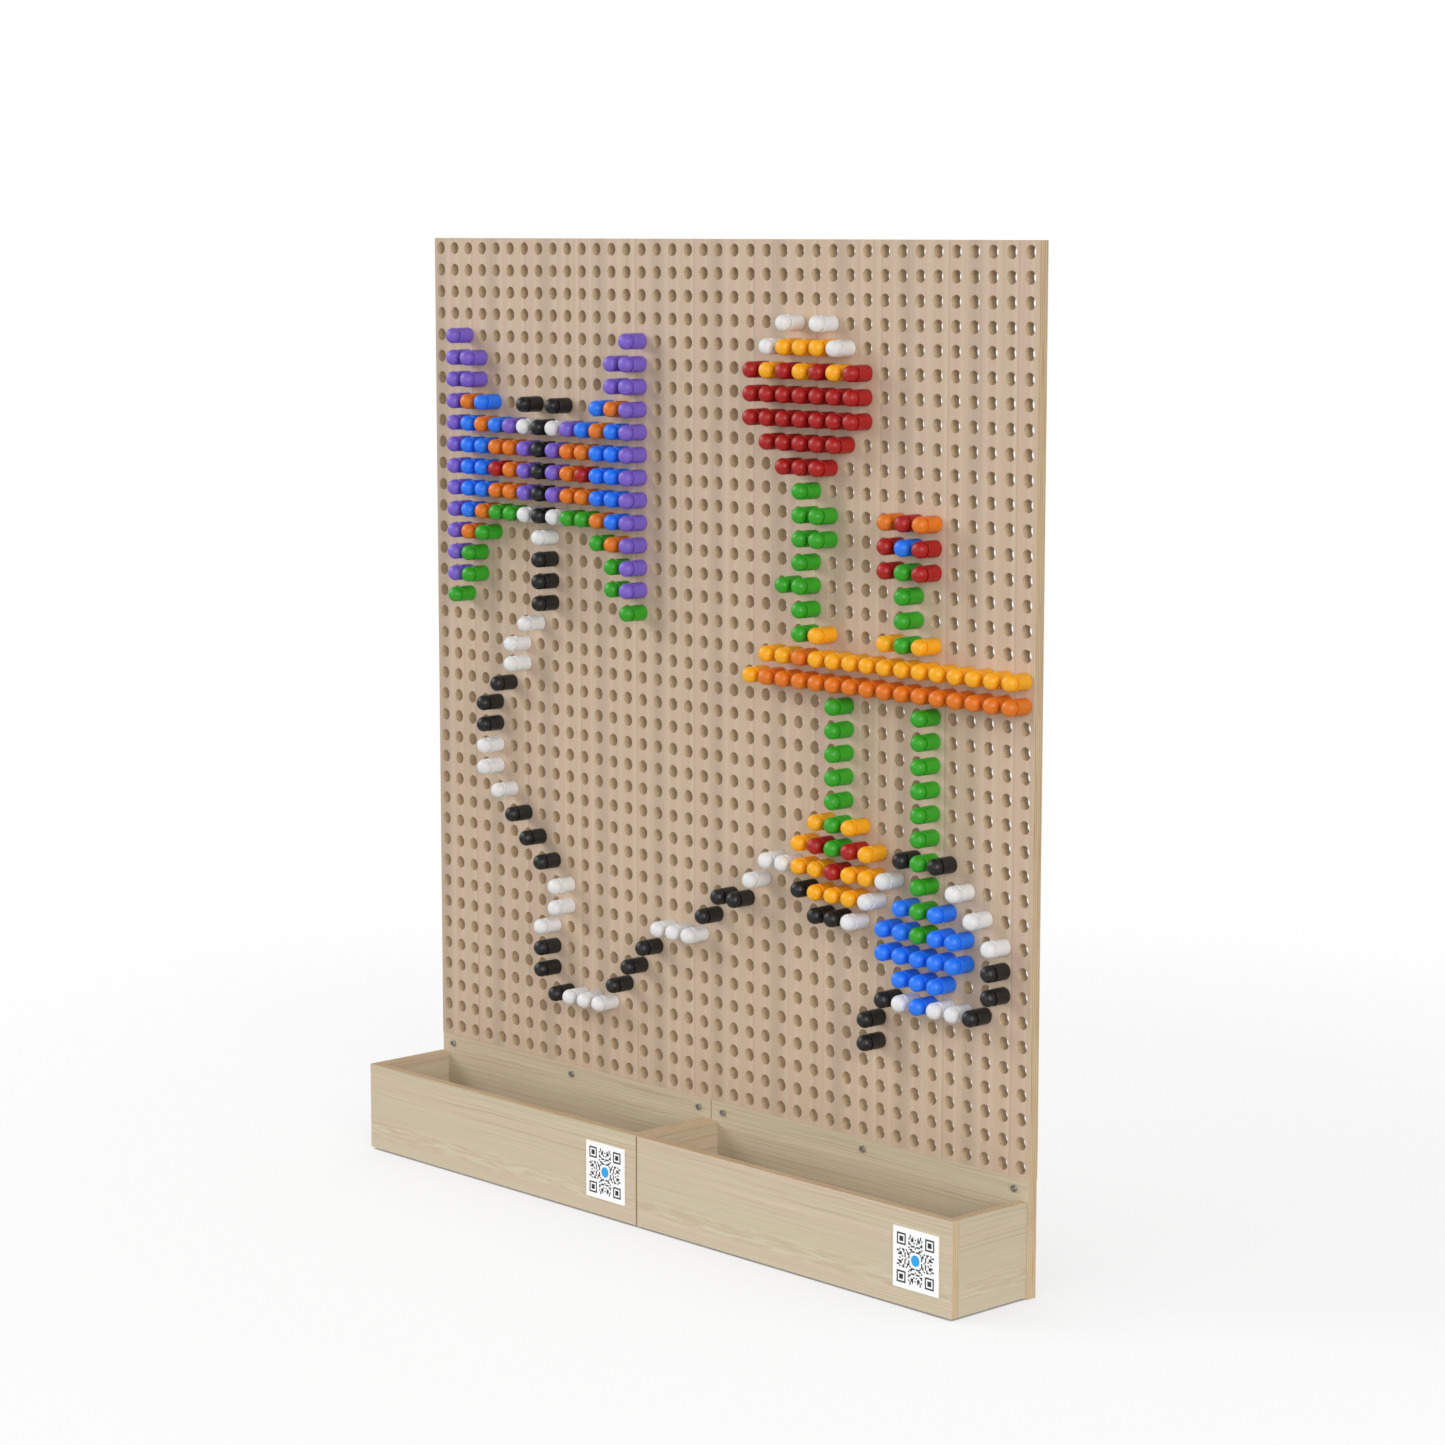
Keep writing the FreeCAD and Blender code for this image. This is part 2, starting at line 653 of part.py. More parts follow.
# ---------------------------------------------------------------- the picture the pegs draw

# One letter per hole, row by row from the top: P purple, B blue, O orange, R red, K black, W white,
# G green, Y yellow. A dot is an empty hole.
PICTURE = """
......................................
......................................
......................................
........................W.W...........
..P...........P........WYYYW..........
..PP.........PP.......RYRYRYR.........
..PP.........PP.......RRRRRRR.........
..POB..K.K..BOP.......RRRRRRR.........
..PBOBPWKWPBOBP........RRRRR..........
..PBBOOPKPOOBBP.........RRR...........
..PBBROPKPORBBP..........G............
..PBBOOPKPOOBBP..........GG...ORO.....
..PBOGGWKWGGOBP..........GG...RBR.....
..POG...W...GOP..........G....RGR.....
..PG....K....GP.........GG.....G......
..PG....K....GP..........G.....G......
..G.....K.....G..........GY...YGY.....
.......W...............YYOYYYYYYYYYYYY
......W...............YOOOOOOOOOOOOOOO
......W....................G....G.....
.....K.....................G....G.....
....K......................G....G.....
....K......................G....G.....
....W......................G....G.....
....W.....................YGY...G.....
.....W...................YRGRY.KGK....
......K................WWYYRYYW.G.W...
.......K..............W..KYYYW.BGB.W..
........K...........KK....KKW.BBGBB.W.
.........W.........K..........BBBBB.K.
.........W......WWW............BBB..K.
........W......K..............KWBWWK..
........K.....K..............K........
........K....K...............K........
.........KWWW.........................
......................................
......................................
......................................
"""

COLOURS = {"P": "purple", "B": "blue", "G": "green", "O": "orange",
           "R": "red", "Y": "yellow", "K": "black", "W": "white"}


def hole_place(column, row):
    """The front-face centre of a hole; columns from the left, rows from the top of the wall."""
    per_side = int(size("holes_per_side"))
    module_column, in_module_column = divmod(column, per_side)
    module_row, in_module_row = divmod(row, per_side)
    left_edge = list(module_left_edges.values())[module_column]
    x = left_edge + margin + in_module_column * size("hole_pitch")
    top = size("back_height") + (len(STOREYS) - module_row) * size("module_width")
    z = top - margin - in_module_row * size("hole_pitch")
    return Vector(x, board_front, z)


def peg_places(letter):
    """Where the pegs of one colour sit, clear of the board by the seat gap."""
    places = []
    for row, line in enumerate(PICTURE.split()):
        for column, mark in enumerate(line):
            if mark == letter:
                seat = hole_place(column, row) - Vector(0, size("seat_gap"), 0)
                places.append(Placement(seat, Rotation()))
    return places


# ---------------------------------------------------------------- places of the fittings

UPRIGHT = Rotation()
LEVEL = Rotation(Vector(0, 1, 0), 90)


def joining_plate_places():
    """Upright plates across the level seams, and level plates across the middle seam."""
    places = []
    for storey in range(len(STOREYS)):
        foot = size("back_height") + storey * size("module_width")
        for station in plate_stations:
            for left_edge in module_left_edges.values():
                places.append(Placement(Vector(left_edge + station, 0, foot), UPRIGHT))
            places.append(Placement(Vector(0, 0, foot + station), LEVEL))
    return places


def hanger_places():
    """Two keyhole plates on each top panel."""
    places = []
    wall_top = size("back_height") + len(STOREYS) * size("module_width")
    height = wall_top - margin - HANGER_ROW_FROM_TOP * size("hole_pitch")
    for left_edge in module_left_edges.values():
        for column in HANGER_COLUMNS:
            x = left_edge + margin + column * size("hole_pitch")
            places.append(Placement(Vector(x, 0, height), UPRIGHT))
    return places


def screw_places(plate_places, distances):
    """A screw at each distance along each plate."""
    places = []
    for plate in plate_places:
        for distance in distances:
            spot = plate.multVec(Vector(0, 0, distance))
            places.append(Placement(spot, UPRIGHT))
    return places


def dowel_places(left_edge):
    """Eight dowels: two at the front and two at the back of each side of a tray."""
    half = size("tray_thickness") / 2
    places = []
    for x in (left_edge + half, left_edge + size("tray_width") - half):
        for z in (size("dowel_low"), size("dowel_high")):
            places.append(Placement(Vector(x, board_front, z), UPRIGHT))
            front_end = tray_front + size("tray_thickness")
            places.append(Placement(Vector(x, front_end, z), Rotation(Vector(0, 0, 1), 180)))
    return places


def wall_screw_places(left_edge):
    """Three wall screws, halfway between the tray rim and the peg panels."""
    height = (tray_rim + size("back_height")) / 2
    end = size("wall_screw_from_end")
    width = size("module_width")
    return [Placement(Vector(left_edge + x, board_front, height), UPRIGHT)
            for x in (end, width / 2, width - end)]


# ---------------------------------------------------------------- assembly

panel_master = peg_panel_master()
for storey, storey_name in enumerate(STOREYS):
    for side, left in MODULE_LEFT_EDGES.items():
        peg_panel(f"{storey_name}_{side}_peg_panel", panel_master, left,
                  f"sizes.back_height + {storey} * sizes.module_width")

for side, left in MODULE_LEFT_EDGES.items():
    tray_back(side, left)
    tray_front_board(side, left)
    for name in side_places(left):
        tray_side(side, name, left)
    tray_bottom(side, left)
    plaque(side, left)
doc.recompute()

plate_screw_distances = [sign * size(name) for sign in (-1, 1)
                         for name in ("plate_screw_near", "plate_screw_far")]
hanger_screw_distances = [-size("hole_pitch") / 2, size("hole_pitch") / 2]
small_screw = small_screw_master()
group_of_copies("joining_plates", joining_plate_master(), joining_plate_places())
group_of_copies("joining_plate_screws", small_screw,
                screw_places(joining_plate_places(), plate_screw_distances))
group_of_copies("keyhole_hangers", hanger_master(), hanger_places())
group_of_copies("keyhole_hanger_screws", small_screw,
                screw_places(hanger_places(), hanger_screw_distances))

wall_screw = wall_screw_master()
dowel = dowel_master()
for side, left_edge in module_left_edges.items():
    group_of_copies(f"{side}_wall_screws", wall_screw, wall_screw_places(left_edge))
    group_of_copies(f"{side}_tray_dowels", dowel, dowel_places(left_edge))

peg = peg_master()
for letter, colour in COLOURS.items():
    group_of_copies(f"{colour}_pegs", peg, peg_places(letter))

# ---------------------------------------------------------------- checks and export

doc.recompute()
for item in doc.Objects:
    if "Invalid" in item.State or "Error" in item.State:
        raise RuntimeError(f"{item.Label} failed: {item.State}")
for piece in nodes:
    if piece.Shape.isNull() or not piece.Shape.isValid():
        raise RuntimeError(f"{piece.Label} has no valid shape")

os.makedirs("parts", exist_ok=True)
for piece in nodes:
    piece.Shape.exportStep(os.path.join("parts", f"{piece.Label}.step"))
    solids = piece.Shape.Solids
    print(f"{piece.Label}: {len(solids)} solid(s), {sum(s.Volume for s in solids) / 1000:.1f} cm3")
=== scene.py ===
"""Looks of a plywood peg wall: veneers, sawn plies, painted pegs, steel, plaques, stage and camera.

Every coloured or textured surface is procedural. All lengths are in metres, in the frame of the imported
part: +X to the viewer's right, +Z up, and the pegs point along -Y. The origin is on the floor, in the plane
of the wall behind the boards, at the middle of the width.
"""

import math

import bmesh
import bpy
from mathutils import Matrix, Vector


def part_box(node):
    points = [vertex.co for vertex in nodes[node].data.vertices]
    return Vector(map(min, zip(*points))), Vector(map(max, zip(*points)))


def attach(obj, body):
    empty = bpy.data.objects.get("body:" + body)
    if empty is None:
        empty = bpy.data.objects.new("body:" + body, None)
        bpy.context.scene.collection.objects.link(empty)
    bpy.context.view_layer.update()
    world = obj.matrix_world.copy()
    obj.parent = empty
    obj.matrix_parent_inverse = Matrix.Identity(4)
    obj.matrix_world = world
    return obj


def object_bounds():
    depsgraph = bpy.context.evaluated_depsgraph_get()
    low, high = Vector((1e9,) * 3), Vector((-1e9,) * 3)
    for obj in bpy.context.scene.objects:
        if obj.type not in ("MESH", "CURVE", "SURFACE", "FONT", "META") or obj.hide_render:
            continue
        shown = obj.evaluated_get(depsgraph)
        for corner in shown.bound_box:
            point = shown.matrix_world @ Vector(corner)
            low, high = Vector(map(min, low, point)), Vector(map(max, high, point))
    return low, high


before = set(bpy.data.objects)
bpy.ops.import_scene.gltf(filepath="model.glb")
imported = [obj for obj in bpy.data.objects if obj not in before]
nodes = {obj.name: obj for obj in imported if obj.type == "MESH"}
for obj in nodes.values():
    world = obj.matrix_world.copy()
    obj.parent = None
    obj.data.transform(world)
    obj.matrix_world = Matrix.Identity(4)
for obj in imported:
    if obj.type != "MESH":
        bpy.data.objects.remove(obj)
cad_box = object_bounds()

ROOT_BODY = "wall_unit"
X, Y, Z = 0, 1, 2

MODULE = 0.6  # width of one panel and of one tray
HOLE_PITCH = 0.0317
HOLE_MARGIN = 0.0147  # from a panel's edge to the centre of its first hole

EASED_EDGE = 0.0002  # radius of the sanded edges of boards and plates
EASED_STEPS = 2
SHARP_ANGLE = math.radians(40)
WELD_DISTANCE = 1e-6

PLY = 0.00185  # thickness of one ply


def srgb(code):
    """Linear RGBA of a colour written like "#C8B090"."""
    channels = [int(code[i:i + 2], 16) / 255 for i in (1, 3, 5)]
    linear = [c / 12.92 if c <= 0.04045 else ((c + 0.055) / 1.055) ** 2.4 for c in channels]
    return (*linear, 1.0)


class Graph:
    """The node tree of one new material, with a short call for each kind of node used below.

    A value is a number, a colour or the output socket of another node.
    """

    def __init__(self, name):
        self.material = bpy.data.materials.new(name)
        self.material.use_nodes = True
        self.tree = self.material.node_tree
        self.shader = self.tree.nodes["Principled BSDF"]
        coordinates = self.tree.nodes.new("ShaderNodeTexCoord")
        self.position = coordinates.outputs["Object"]
        self.normal = coordinates.outputs["Normal"]

    def plug(self, socket, value):
        """Links or writes a value into a socket."""
        if isinstance(value, bpy.types.NodeSocket):
            self.tree.links.new(value, socket)
        else:
            socket.default_value = value

    def add(self, kind, inputs, output=0, **settings):
        """Adds one node and returns one of its outputs."""
        node = self.tree.nodes.new(kind)
        for name, value in settings.items():
            setattr(node, name, value)
        for key, value in inputs.items():
            self.plug(node.inputs[key], value)
        return node.outputs[output]

    def math(self, operation, *values):
        return self.add("ShaderNodeMath", dict(enumerate(values)), operation=operation)

    def split(self, vector):
        node = self.tree.nodes.new("ShaderNodeSeparateXYZ")
        self.plug(node.inputs[0], vector)
        return list(node.outputs)

    def join(self, x, y, z):
        return self.add("ShaderNodeCombineXYZ", {0: x, 1: y, 2: z})

    def stretched(self, first, first_factor, second, second_factor, third):
        """A vector for a texture that is drawn out or squeezed along two directions."""
        return self.join(self.math("MULTIPLY", first, first_factor),
                         self.math("MULTIPLY", second, second_factor), third)

    def from_rim(self, value, length):
        """Distance to the nearer end of a span from 0 to length."""
        return self.math("MINIMUM", value, self.math("SUBTRACT", length, value))

    def noise(self, vector, scale=1.0, detail=2.0):
        return self.add("ShaderNodeTexNoise", {"Vector": vector, "Scale": scale, "Detail": detail})

    def centred_noise(self, vector, size, **options):
        """Noise from -size to size, about."""
        return self.math("MULTIPLY_ADD", self.noise(vector, **options), 2 * size, -size)

    def step(self, value, low, high, to_low=0.0, to_high=1.0):
        """Soft step: to_low where value is at or below low, to_high where it is at or above high."""
        inputs = {"Value": value, "From Min": low, "From Max": high, "To Min": to_low, "To Max": to_high}
        return self.add("ShaderNodeMapRange", inputs, interpolation_type="SMOOTHSTEP")

    def mix(self, share, first, second):
        return self.add("ShaderNodeMix", {0: share, 6: first, 7: second}, output=2, data_type="RGBA")

    def scale(self, colour, factor):
        vector = colour[:3] if isinstance(colour, tuple) else colour
        return self.add("ShaderNodeVectorMath", {0: vector, 3: factor}, operation="SCALE")

    def ramp(self, value, stops, curve="EASE"):
        node = self.tree.nodes.new("ShaderNodeValToRGB")
        node.color_ramp.interpolation = curve
        elements = node.color_ramp.elements
        for index, (place, colour) in enumerate(stops):
            element = elements[index] if index < 2 else elements.new(place)
            element.position = place
            element.color = colour
        self.plug(node.inputs[0], value)
        return node.outputs[0]

    def bump(self, height, depth):
        """Normal for a height from 0 to 1 that stands depth metres high."""
        return self.add("ShaderNodeBump", {"Strength": 1.0, "Distance": depth, "Height": height})

    def surface(self, **inputs):
        """Sets inputs of the shader, named with underscores for spaces, and returns the material."""
        for name, value in inputs.items():
            self.plug(self.shader.inputs[name.replace("_", " ")], value)
        return self.material


# ---------------------------------------------------------------- wood

STRIP_PERIOD = MODULE / 5  # the panel veneer is glued from strips that come round five times a panel
STRIP_COLOURS = {
    "light": srgb("#D0BAA2"),
    "pink": srgb("#CCB29B"),
    "tan": srgb("#CBB399"),
    "grey": srgb("#C3AD96"),
    "shade": srgb("#BEA891"),
    "line": srgb("#BEA68E"),
}
STRIP_LAYOUT = (
    (0.00, "grey"), (0.10, "shade"), (0.18, "grey"), (0.27, "light"), (0.31, "pink"), (0.38, "pink"),
    (0.42, "light"), (0.50, "tan"), (0.63, "tan"), (0.67, "light"), (0.70, "light"), (0.715, "line"),
    (0.74, "pink"), (0.87, "pink"), (0.91, "light"), (0.95, "tan"),
)


def strip_veneer(g, along, across, offset):
    """Straight-grained veneer of glued strips: colour and height."""
    wander = g.centred_noise(g.stretched(across, 9.0, along, 3.0, offset), 0.0015)
    place = g.math("ADD", across, wander)
    turn = g.math("FRACT", g.math("DIVIDE", place, STRIP_PERIOD))
    strips = g.ramp(turn, [(stop, STRIP_COLOURS[tone]) for stop, tone in STRIP_LAYOUT], curve="LINEAR")
    broad = g.centred_noise(g.stretched(place, 14.0, along, 1.2, offset), 0.030)
    fine = g.centred_noise(g.stretched(place, 620.0, along, 9.0, offset), 0.035, detail=3.0)
    streak = g.noise(g.stretched(place, 210.0, along, 2.2, offset), detail=2.0)
    streaks = g.step(streak, 0.56, 0.74, 0.0, -0.085)
    tone = g.math("ADD", g.math("ADD", broad, fine), g.math("ADD", streaks, 1.0))
    height = g.math("ADD", g.math("MULTIPLY", fine, 6.0), 0.5)
    return g.scale(strips, tone), height


# Distances from a board's low edge between which its figure changes.
FIGURE_STRONG = (0.066, 0.090)  # the lines grow to full strength
FIGURE_WEAKEST = 0.45  # their strength below that
FLECKS_START = (0.014, 0.024)
FLECKS_END = (0.036, 0.048)
FIGURE_COLOURS = {
    "base": srgb("#CBBCA1"),
    "pink": srgb("#CDB9A0"),
    "green": srgb("#C9BDA0"),
    "brown": srgb("#B08E69"),
    "light": srgb("#D8CBAF"),
    "fleck": srgb("#D2CCB2"),
}


def figured_veneer(g, along, across, offset):
    """Crown-cut veneer: long lines, strong at one edge and flecked at the other. Colour and height."""
    drift = g.centred_noise(g.stretched(along, 5.0, across, 9.0, offset), 0.0040)
    ripple = g.centred_noise(g.stretched(along, 42.0, across, 50.0, offset), 0.0009)
    place = g.math("ADD", across, g.math("ADD", drift, ripple))
    band = g.noise(g.stretched(along, 0.8, place, 34.0, offset), detail=2.0)
    colour = g.ramp(band, (
        (0.32, FIGURE_COLOURS["pink"]), (0.48, FIGURE_COLOURS["base"]), (0.64, FIGURE_COLOURS["green"])))
    line = g.noise(g.stretched(along, 3.0, place, 460.0, offset), detail=2.0)
    share = g.step(place, *FIGURE_STRONG, FIGURE_WEAKEST, 1.0)
    dark_lines = g.math("MULTIPLY", g.step(line, 0.52, 0.68), share)
    pale_lines = g.math("MULTIPLY", g.step(line, 0.46, 0.32), share)
    colour = g.mix(g.math("MULTIPLY", dark_lines, 0.40), colour, FIGURE_COLOURS["brown"])
    colour = g.mix(g.math("MULTIPLY", pale_lines, 0.50), colour, FIGURE_COLOURS["light"])
    fleck = g.noise(g.stretched(along, 26.0, place, 260.0, offset), detail=1.0)
    near = g.math("MULTIPLY", g.step(across, *FLECKS_START), g.step(across, *FLECKS_END, 1.0, 0.0))
    flecks = g.math("MULTIPLY", g.step(fleck, 0.52, 0.62), near)
    colour = g.mix(g.math("MULTIPLY", flecks, 0.55), colour, FIGURE_COLOURS["fleck"])
    shadows = g.math("MULTIPLY", g.step(fleck, 0.46, 0.36), near)
    colour = g.mix(g.math("MULTIPLY", shadows, 0.20), colour, FIGURE_COLOURS["brown"])
    fine = g.centred_noise(g.stretched(along, 7.0, place, 900.0, offset), 0.065, detail=3.0)
    height = g.math("SUBTRACT", g.math("MULTIPLY_ADD", fine, 5.0, 0.6),
                    g.math("MULTIPLY", dark_lines, 0.4))
    return g.scale(colour, g.math("ADD", fine, 1.0)), height


EDGE_COLOURS = {
    "light": srgb("#D9C4A1"),
    "tan": srgb("#CDAF88"),
    "dark": srgb("#B28F66"),
    "glue": srgb("#93734F"),
    "bore": srgb("#C0AB8F"),
}


def ply_edge(g, depth, run, offset):
    """Sawn edge of the plies: depth is the place through the board, run the place along the edge."""
    wander = g.centred_noise(g.stretched(depth, 500.0, run, 6.0, offset), 0.00045)
    place = g.math("ADD", depth, wander)
    layer = g.math("DIVIDE", place, PLY)
    number = g.math("FLOOR", layer)
    parity = g.math("PINGPONG", number, 1.0)
    ply_random = g.add("ShaderNodeTexWhiteNoise", {"Vector": g.join(number, offset, 0.0)})
    colour = g.mix(parity, EDGE_COLOURS["light"], EDGE_COLOURS["tan"])
    long_streak = g.noise(g.stretched(place, 900.0, run, 13.0, offset), detail=2.0)
    dark = g.math("MULTIPLY", g.step(long_streak, 0.45, 0.66),
                  g.math("MULTIPLY_ADD", ply_random, 0.6, 0.2))
    colour = g.mix(dark, colour, EDGE_COLOURS["dark"])
    side = g.math("ABSOLUTE", g.math("SUBTRACT", g.math("FRACT", layer), 0.5))
    strength = g.noise(g.stretched(place, 300.0, run, 11.0, offset), detail=3.0)
    glue = g.math("MULTIPLY", g.step(side, 0.38, 0.48), g.step(strength, 0.38, 0.62, 0.15, 0.80))
    colour = g.mix(glue, colour, EDGE_COLOURS["glue"])
    fibre = g.centred_noise(g.stretched(depth, 3800.0, run, 40.0, offset), 0.08, detail=3.0)
    height = g.math("SUBTRACT", g.math("MULTIPLY_ADD", fibre, 3.0, 0.7), g.math("MULTIPLY", glue, 0.5))
    return g.scale(colour, g.math("ADD", fibre, 1.0)), height


BORE_INSET = 0.002  # walls further than this from a board's outline belong to holes
BORE_SHARE = 0.48  # how far their colour goes from the sawn edge's to an even one
FACE_TURN = (0.55, 0.85)  # the veneer takes over from the plies between these parts of a normal
PLY_ROUGHNESS = 0.74
VENEER_SMOOTHER = 0.16


def plywood(node, thin, grain, veneer, seed):
    """Material of one plywood board: veneer on the two faces across axis thin, sawn plies on the others."""
    low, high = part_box(node)
    wide = ({X, Y, Z} - {thin, grain}).pop()
    g = Graph(node + "_plywood")
    place = g.split(g.position)
    along = g.math("SUBTRACT", place[grain], low[grain])
    across = g.math("SUBTRACT", place[wide], low[wide])
    depth = g.math("SUBTRACT", place[thin], low[thin])
    run = g.math("ADD", along, across)
    face_colour, face_height = veneer(g, along, across, seed)
    edge_colour, edge_height = ply_edge(g, depth, run, seed)
    inset = g.math("MINIMUM", g.from_rim(along, high[grain] - low[grain]),
                   g.from_rim(across, high[wide] - low[wide]))
    in_bore = g.math("MULTIPLY", g.math("GREATER_THAN", inset, BORE_INSET), BORE_SHARE)
    edge_colour = g.mix(in_bore, edge_colour, EDGE_COLOURS["bore"])
    facing = g.step(g.math("ABSOLUTE", g.split(g.normal)[thin]), *FACE_TURN)
    colour = g.mix(facing, edge_colour, face_colour)
    height = g.math("ADD", g.math("MULTIPLY", face_height, facing),
                    g.math("MULTIPLY", edge_height, g.math("SUBTRACT", 1.0, facing)))
    sheen = g.centred_noise(g.join(along, across, seed), 0.06, scale=18.0)
    roughness = g.math("ADD", g.math("MULTIPLY_ADD", facing, -VENEER_SMOOTHER, PLY_ROUGHNESS), sheen)
    return g.surface(Base_Color=colour, Roughness=roughness, Normal=g.bump(height, 0.00012))


def raw_beech(name):
    """Turned dowels with fine lines along Y."""
    g = Graph(name)
    x, y, z = g.split(g.position)
    drawn_out = g.stretched(x, 700.0, y, 40.0, g.math("MULTIPLY", z, 700.0))
    lines = g.centred_noise(drawn_out, 0.12, detail=3.0)
    colour = g.scale(srgb("#CDAA7B"), g.math("ADD", lines, 1.0))
    return g.surface(Base_Color=colour, Roughness=0.7, Normal=g.bump(lines, 0.0002))


# ---------------------------------------------------------------- pegs

PEG_COLOURS = {
    "purple": "#7C61CC",
    "blue": "#227CFA",
    "green": "#30A41C",
    "orange": "#E47814",
    "red": "#AC1612",
    "yellow": "#FCB012",
    "black": "#181818",
    "white": "#E8E8E8",
}
STRONG_GRAIN = 0.05  # share of the brightness; black and white paint hide the grain better
WEAK_GRAIN = 0.015
WEAK_GRAIN_PEGS = ("black", "white")


def in_module(g, value):
    """Place within one 600 mm module."""
    return g.math("MODULO", g.math("ADD", value, 2 * MODULE), MODULE)


def peg_number(g, value):
    """Which hole of its module a point belongs to, with the cell edges half way between holes."""
    from_cell_edge = g.math("ADD", value, HOLE_PITCH / 2 - HOLE_MARGIN)
    return g.math("FLOOR", g.math("DIVIDE", from_cell_edge, HOLE_PITCH))


def peg_paint(colour):
    """Satin paint on turned wood: upright grain shows faintly through, and each peg differs a little."""
    g = Graph(colour + "_peg_paint")
    x, y, z = g.split(g.position)
    below_top = g.math("SUBTRACT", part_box("top_left_peg_panel")[1].z, z)
    column = peg_number(g, in_module(g, x))
    row = peg_number(g, in_module(g, below_top))
    modules = g.math("ADD", g.math("MULTIPLY", g.math("FLOOR", g.math("DIVIDE", x, MODULE)), 7.0),
                     g.math("FLOOR", g.math("DIVIDE", below_top, MODULE)))
    peg_random = g.add("ShaderNodeTexWhiteNoise", {"Vector": g.join(column, row, modules)})
    shift = g.math("MULTIPLY", peg_random, 3.0)
    grain_size = WEAK_GRAIN if colour in WEAK_GRAIN_PEGS else STRONG_GRAIN
    upright = g.join(g.math("MULTIPLY", x, 420.0), g.math("MULTIPLY_ADD", z, 22.0, shift),
                     g.math("MULTIPLY", y, 60.0))
    lines = g.centred_noise(upright, grain_size)
    orange_peel = g.noise(g.position, scale=900.0, detail=1.0)
    tone = g.math("ADD", g.math("MULTIPLY_ADD", peg_random, 0.04, 0.98), lines)
    roughness = g.math("MULTIPLY_ADD", orange_peel, 0.10, 0.40)
    height = g.math("ADD", g.math("MULTIPLY", lines, 4.0), g.math("MULTIPLY", orange_peel, 0.25))
    return g.surface(
        Base_Color=g.scale(srgb(PEG_COLOURS[colour]), tone), Roughness=roughness,
        Specular_IOR_Level=0.45, Coat_Weight=0.12, Coat_Roughness=0.35, Normal=g.bump(height, 0.00006))


# ---------------------------------------------------------------- metal and plastic

def brushed_steel(name, colour, along, roughness):
    """Steel with fine scratches along one axis and a cloudy plating."""
    g = Graph(name)
    place = g.split(g.position)
    drawn_out = [g.math("MULTIPLY", value, 60.0 if axis == along else 2600.0)
                 for axis, value in enumerate(place)]
    scratches = g.noise(g.join(*drawn_out), detail=3.0)
    clouds = g.centred_noise(g.position, 0.10, scale=120.0, detail=3.0)
    shine = g.math("ADD", g.math("MULTIPLY_ADD", scratches, 0.22, roughness), clouds)
    tone = g.math("ADD", g.math("MULTIPLY_ADD", scratches, 0.16, 0.92), clouds)
    return g.surface(Base_Color=g.scale(srgb(colour), tone), Metallic=1.0, Roughness=shine,
                     Normal=g.bump(scratches, 0.00002))


def moulded_plastic(name, colour, grain, roughness):
    """Plastic with a fine leather-like mould texture."""
    g = Graph(name)
    cells = g.add("ShaderNodeTexVoronoi", {"Vector": g.position, "Scale": grain})
    clouds = g.centred_noise(g.position, 0.03, scale=grain / 20, detail=3.0)
    tone = g.math("ADD", g.math("MULTIPLY_ADD", cells, 0.03, 0.985), clouds)
    return g.surface(Base_Color=g.scale(srgb(colour), tone), Roughness=roughness,
                     Normal=g.bump(cells, 0.00003))


def printing_ink(name, colour):
    """Ink film on the plaque, a little uneven and glossier than the sheet."""
    g = Graph(name)
    dots = g.centred_noise(g.position, 0.12, scale=1500.0, detail=2.0)
    return g.surface(Base_Color=g.scale(srgb(colour), g.math("ADD", dots, 1.0)),
                     Roughness=g.math("ADD", dots, 0.42), Normal=g.bump(dots, 0.00002))


# ---------------------------------------------------------------- carried CAD nodes

def dress(node, material):
    """Gives a CAD node its material."""
    mesh = nodes[node].data
    mesh.materials.clear()
    mesh.materials.append(material)


def ease_edges(node):
    """Rounds the sharp edges of a CAD node with modifiers, which leave its own mesh as it is."""
    weld = nodes[node].modifiers.new("weld", "WELD")
    weld.merge_threshold = WELD_DISTANCE
    bevel = nodes[node].modifiers.new("ease", "BEVEL")
    bevel.width = EASED_EDGE
    bevel.segments = EASED_STEPS
    bevel.limit_method = "ANGLE"
    bevel.angle_limit = SHARP_ANGLE
    bevel.use_clamp_overlap = False
    bevel.harden_normals = True


TRAY_BOARDS = {  # board: (thin axis, grain axis)
    "tray_back": (Y, X),
    "tray_front": (Y, X),
    "tray_left_side": (X, Y),
    "tray_right_side": (X, Y),
    "tray_bottom": (Z, X),
}

for number, panel in enumerate(sorted(n for n in nodes if n.endswith("peg_panel"))):
    dress(panel, plywood(panel, Y, Z, strip_veneer, seed=3.7 * number))
    ease_edges(panel)

white_sheet = moulded_plastic("plaque_sheet", "#FFFFFF", grain=1800.0, roughness=0.45)
dowel_beech = raw_beech("dowel_beech")
screw_steel = brushed_steel("screw_steel", "#B4B2AF", along=Y, roughness=0.32)
plate_steel = brushed_steel("plate_steel", "#B4B6B8", along=Z, roughness=0.30)

for tray_number, side in enumerate(("left", "right")):
    for number, (board, (thin, grain)) in enumerate(TRAY_BOARDS.items()):
        node = f"{side}_{board}"
        seed = 11.0 + 5.3 * number + 2.1 * tray_number
        dress(node, plywood(node, thin, grain, figured_veneer, seed))
        ease_edges(node)
    dress(f"{side}_plaque", white_sheet)
    ease_edges(f"{side}_plaque")
    dress(f"{side}_wall_screws", screw_steel)
    dress(f"{side}_tray_dowels", dowel_beech)

for node in ("joining_plate_screws", "keyhole_hanger_screws"):
    dress(node, screw_steel)
for node in ("joining_plates", "keyhole_hangers"):
    dress(node, plate_steel)

for colour in PEG_COLOURS:
    dress(colour + "_pegs", peg_paint(colour))


